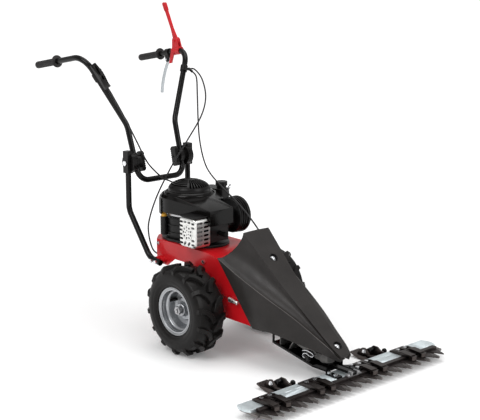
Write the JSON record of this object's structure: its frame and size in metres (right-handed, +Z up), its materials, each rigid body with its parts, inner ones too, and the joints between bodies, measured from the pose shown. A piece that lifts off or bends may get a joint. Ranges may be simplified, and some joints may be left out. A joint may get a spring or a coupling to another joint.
{
  "type": "sickle bar mower",
  "caption": "Walk-behind mower with an engine on a sheet chassis, lugged wheels, a height-adjustable handle and a front cutter bar with a reciprocating knife.",
  "frame": {"origin": "on the ground, on the centre plane, half way between the grip ends and the finger tips", "axes": "+X forward to the cutter bar, +Y to the operator's left, +Z up"},
  "size_m": [1.5259, 0.9194, 1.2137],
  "materials": {
    "red_paint": "gloss",
    "black_paint": "gloss",
    "black_plastic": "satin",
    "hood_plastic": "satin",
    "shroud_grey": "gloss",
    "red_plastic": "gloss",
    "amber_plastic": "gloss",
    "zinc": "zinc plated",
    "bar_steel": "zinc plated",
    "finger_steel": "plain",
    "blade_steel": "dark hardened",
    "machined_steel": "machined",
    "cast_grey": "cast",
    "engine_black": "painted casting",
    "fin_alloy": "cast",
    "bare_alloy": "polished",
    "guard_steel": "plated",
    "rim_silver": "satin",
    "tyre": "matt",
    "grip_rubber": "matt",
    "belt_rubber": "matt",
    "cable_sleeve": "satin"
  },
  "bodies": {
    "chassis": {"chassis_frame": "red_paint", "frame_bolts": "zinc", "front_hood": "hood_plastic", "front_beam": "black_paint", "beam_roller": "zinc", "knife_gearbox": "cast_grey", "knife_belt": "belt_rubber", "drive_belt": "belt_rubber", "transmission_case": "cast_grey", "axle_bearings": "cast_grey", "engine_case": "engine_black", "engine_cylinder": "fin_alloy", "blower_shroud": "shroud_grey", "recoil_cover": "black_plastic", "starter_grip": "black_plastic", "muffler": "machined_steel", "muffler_guard": "guard_steel", "carburettor": "engine_black", "air_filter": "black_plastic", "fuel_tank": "black_plastic", "spark_plug": "black_plastic", "lower_handle_left": "black_paint", "lower_handle_right": "black_paint", "knuckle_outer": "black_plastic", "knuckle_bolts": "zinc", "throttle_cable": "cable_sleeve", "drive_cable": "cable_sleeve", "knife_cable": "cable_sleeve", "bar_carrier": "bar_steel", "finger_comb": "finger_steel", "knife_clamps": "black_paint", "clamp_bolts": "zinc", "skids": "black_paint"},
    "axle": {"axle_shaft": "machined_steel"},
    "wheel_left": {"tyre_left": "tyre", "rim_left": "rim_silver"},
    "wheel_right": {"tyre_right": "tyre", "rim_right": "rim_silver"},
    "crank": {"crankshaft": "machined_steel"},
    "knife_drive_pulley": {"knife_pulley": "machined_steel"},
    "wheel_drive_pulley": {"transmission_pulley": "machined_steel"},
    "knife_tensioner": {"knife_idler": "zinc"},
    "drive_tensioner": {"drive_idler": "zinc"},
    "handle": {"upper_handle": "black_paint", "knuckle_inner": "black_plastic", "handle_grips": "grip_rubber", "knife_lever_mount": "red_plastic", "drive_lever_mount": "black_plastic", "cable_guide": "zinc", "throttle_housing": "black_plastic"},
    "left_knob": {"knob_left": "black_plastic"},
    "right_knob": {"knob_right": "black_plastic"},
    "knife_clutch_lever": {"knife_lever": "red_plastic"},
    "drive_clutch_lever": {"drive_lever": "bare_alloy"},
    "throttle": {"throttle_lever": "black_plastic"},
    "tank_cap": {"fuel_cap": "black_plastic"},
    "oil_dipstick": {"dipstick": "amber_plastic"},
    "knife": {"knife_blade": "blade_steel", "knife_head": "machined_steel"},
    "rocker": {"rocker_arm": "black_paint"}
  },
  "joints": [
    {"name": "axle_spin", "type": "hinge", "parent": "chassis", "child": "axle", "pos_m": [0.071, 0, 0.165], "axis": [0, 1, 0], "continuous": true},
    {"name": "left_wheel_spin", "type": "hinge", "parent": "axle", "child": "wheel_left", "pos_m": [0.071, 0.2, 0.165], "axis": [0, 1, 0], "continuous": true},
    {"name": "right_wheel_spin", "type": "hinge", "parent": "axle", "child": "wheel_right", "pos_m": [0.071, -0.2, 0.165], "axis": [0, 1, 0], "continuous": true},
    {"name": "crank_spin", "type": "hinge", "parent": "chassis", "child": "crank", "pos_m": [-0.144, 0, 0.4], "axis": [0, 0, 1], "continuous": true},
    {"name": "knife_pulley_spin", "type": "hinge", "parent": "chassis", "child": "knife_drive_pulley", "pos_m": [0.261, 0, 0.318], "axis": [0, 0, 1], "continuous": true},
    {"name": "drive_pulley_spin", "type": "hinge", "parent": "chassis", "child": "wheel_drive_pulley", "pos_m": [0.071, 0, 0.28], "axis": [0, 0, 1], "continuous": true},
    {"name": "knife_tensioner_swing", "type": "hinge", "parent": "chassis", "child": "knife_tensioner", "pos_m": [0.011, 0.07506, 0.318], "axis": [0, 0, 1], "range_deg": [-4.5, 0]},
    {"name": "drive_tensioner_swing", "type": "hinge", "parent": "chassis", "child": "drive_tensioner", "pos_m": [0.021, -0.06724, 0.28], "axis": [0, 0, 1], "range_deg": [-4.5, 0]},
    {"name": "handle_tilt", "type": "hinge", "parent": "chassis", "child": "handle", "pos_m": [-0.329, 0, 0.634], "axis": [0, 1, 0], "range_deg": [-20, 35], "deforming": ["throttle_cable", "drive_cable", "knife_cable"]},
    {"name": "left_knob_turn", "type": "hinge", "parent": "handle", "child": "left_knob", "pos_m": [-0.329, 0.085, 0.634], "axis": [0, 1, 0], "range_deg": [-360, 0]},
    {"name": "right_knob_turn", "type": "hinge", "parent": "handle", "child": "right_knob", "pos_m": [-0.329, -0.085, 0.634], "axis": [0, 1, 0], "range_deg": [0, 360]},
    {"name": "knife_lever_pull", "type": "hinge", "parent": "handle", "child": "knife_clutch_lever", "pos_m": [-0.52054, 0.25069, 1.06218], "axis": [0.0096, 1, 0], "range_deg": [-65, 0], "stiffness_Nm_per_rad": 1.5, "springref_deg": 11.46},
    {"name": "drive_lever_pull", "type": "hinge", "parent": "handle", "child": "drive_clutch_lever", "pos_m": [-0.56802, 0.25115, 0.98491], "axis": [0.0096, 1, 0], "range_deg": [0, 45], "stiffness_Nm_per_rad": 1.5, "springref_deg": -5.73},
    {"name": "throttle_set", "type": "hinge", "parent": "handle", "child": "throttle", "pos_m": [-0.39343, -0.21365, 0.96238], "axis": [0, -0.8917, -0.4526], "range_deg": [-30, 35]},
    {"name": "fuel_cap_turn", "type": "hinge", "parent": "chassis", "child": "tank_cap", "pos_m": [-0.119, 0.1393, 0.53], "axis": [0, 0, 1], "range_deg": [0, 120]},
    {"name": "dipstick_turn", "type": "hinge", "parent": "chassis", "child": "oil_dipstick", "pos_m": [-0.18, -0.094, 0.446], "axis": [0, 0, 1], "range_deg": [0, 180]},
    {"name": "knife_stroke", "type": "slide", "parent": "chassis", "child": "knife", "axis": [0, 1, 0], "range_m": [-0.0254, 0.0254]},
    {"name": "rocker_swing", "type": "hinge", "parent": "chassis", "child": "rocker", "pos_m": [0.581, 0, 0.06], "axis": [0, 0, 1], "range_deg": [-12.5, 12.5]}
  ],
  "couplings": [
    {"joint": "knife_tensioner_swing", "follows": "knife_lever_pull", "ratio": 0.069231},
    {"joint": "drive_tensioner_swing", "follows": "drive_lever_pull", "ratio": -0.1},
    {"joint": "rocker_swing", "follows": "knife_stroke", "rad_per_m": 8.5413}
  ]
}
